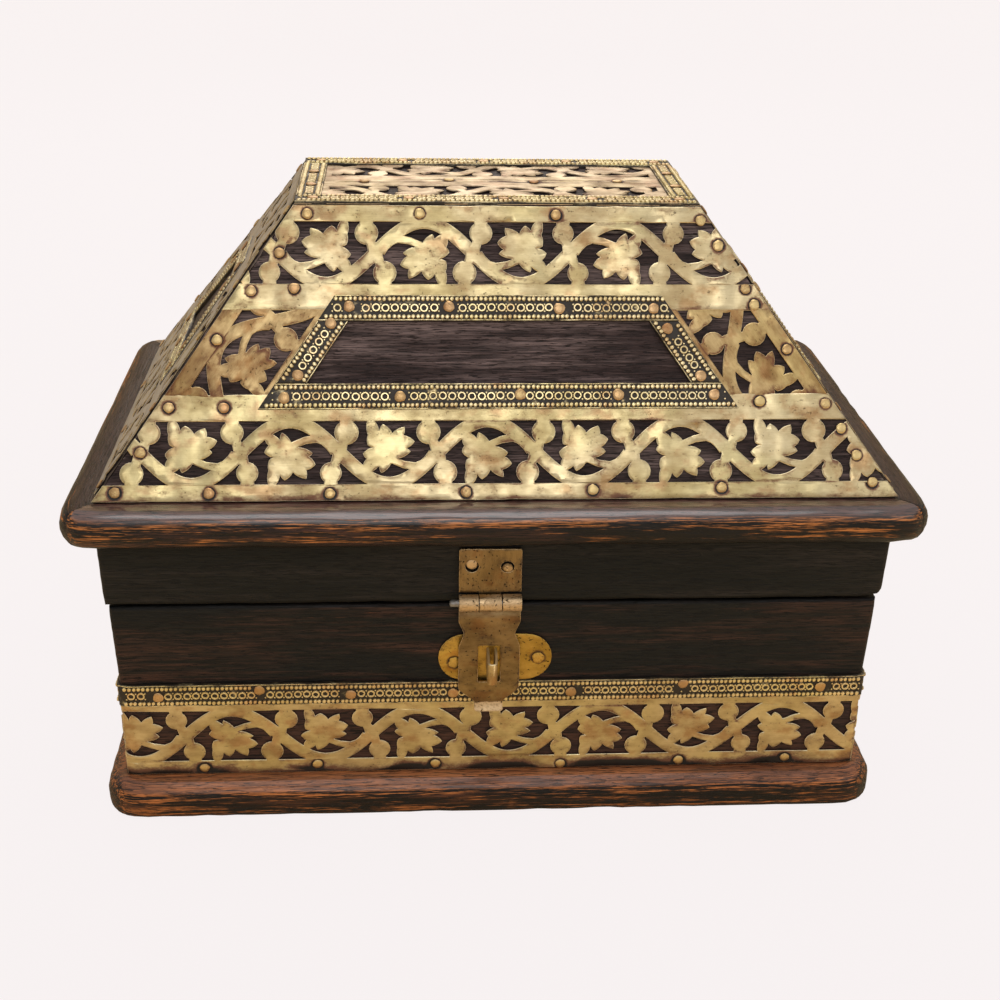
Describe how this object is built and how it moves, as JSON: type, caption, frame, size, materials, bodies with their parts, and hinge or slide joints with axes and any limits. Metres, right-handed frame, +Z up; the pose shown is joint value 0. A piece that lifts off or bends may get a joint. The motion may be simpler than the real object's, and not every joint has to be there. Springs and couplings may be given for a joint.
{
  "type": "jewellery box",
  "caption": "Dark wooden jewellery box on a moulded base, with a hinged hip-roofed lid, pierced and beaded brass strip cladding, and a hasp and staple at the front.",
  "frame": {"origin": "centre of the footprint, on the surface that the base board stands on", "axes": "+X along the front, to the viewer's right; +Y from the front to the hinges at the back; +Z up"},
  "size_m": [0.281, 0.174, 0.2053],
  "materials": {
    "dark_wood": "dark brown-black stained hardwood, open grain, worn satin",
    "brown_wood": "red-brown stained hardwood, edges rubbed to orange-brown",
    "pierced_brass": "thin die-cut brass sheet, dull gold with brown tarnish",
    "beaded_brass": "embossed brass strip, bright beads and dark recesses",
    "hasp_brass": "antique brass, dull, pitted, bright on worn edges",
    "plate_brass": "yellow brass sheet, lightly brushed",
    "pin_steel": "plain drawn steel wire"
  },
  "bodies": {
    "box": {"base_board": "brown_wood", "box_front": "dark_wood", "box_right": "dark_wood", "box_back": "dark_wood", "box_left": "dark_wood", "base_band_front": "pierced_brass", "base_band_right": "pierced_brass", "base_band_back": "pierced_brass", "base_band_left": "pierced_brass", "bead_strip_front": "beaded_brass", "bead_strip_right": "beaded_brass", "bead_strip_back": "beaded_brass", "bead_strip_left": "beaded_brass", "staple_plate": "plate_brass", "staple": "hasp_brass", "hinge_left_box_leaf": "hasp_brass", "hinge_left_pin": "pin_steel", "hinge_right_box_leaf": "hasp_brass", "hinge_right_pin": "pin_steel"},
    "lid": {"lid_rim_front": "dark_wood", "lid_rim_right": "dark_wood", "lid_rim_back": "dark_wood", "lid_rim_left": "dark_wood", "lid_moulding_front": "brown_wood", "lid_moulding_right": "brown_wood", "lid_moulding_back": "brown_wood", "lid_moulding_left": "brown_wood", "roof_panel_front": "dark_wood", "roof_panel_right": "dark_wood", "roof_panel_back": "dark_wood", "roof_panel_left": "dark_wood", "roof_top_board": "dark_wood", "lower_band_front": "pierced_brass", "lower_band_right": "pierced_brass", "lower_band_back": "pierced_brass", "lower_band_left": "pierced_brass", "upper_band_front": "pierced_brass", "upper_band_right": "pierced_brass", "upper_band_back": "pierced_brass", "upper_band_left": "pierced_brass", "hip_strip_front_left": "pierced_brass", "hip_strip_front_right": "pierced_brass", "hip_strip_right_left": "pierced_brass", "hip_strip_right_right": "pierced_brass", "hip_strip_back_left": "pierced_brass", "hip_strip_back_right": "pierced_brass", "hip_strip_left_left": "pierced_brass", "hip_strip_left_right": "pierced_brass", "bead_frame_front": "beaded_brass", "bead_frame_right": "beaded_brass", "bead_frame_back": "beaded_brass", "bead_frame_left": "beaded_brass", "top_panel": "pierced_brass", "top_bead_frame": "beaded_brass", "hasp_leaf": "hasp_brass", "hasp_pin": "pin_steel", "hinge_left_lid_leaf": "hasp_brass", "hinge_right_lid_leaf": "hasp_brass"},
    "hasp_flap": {"hasp_flap": "hasp_brass"}
  },
  "joints": [
    {"name": "lid_hinge", "type": "hinge", "parent": "box", "child": "lid", "pos_m": [0, 0.0777, 0.0803], "axis": [-1, 0, 0], "range_deg": [0, 110]},
    {"name": "hasp_hinge", "type": "hinge", "parent": "lid", "child": "hasp_flap", "pos_m": [-0.003, -0.0782, 0.0823], "axis": [-1, 0, 0], "range_deg": [0, 160]}
  ]
}
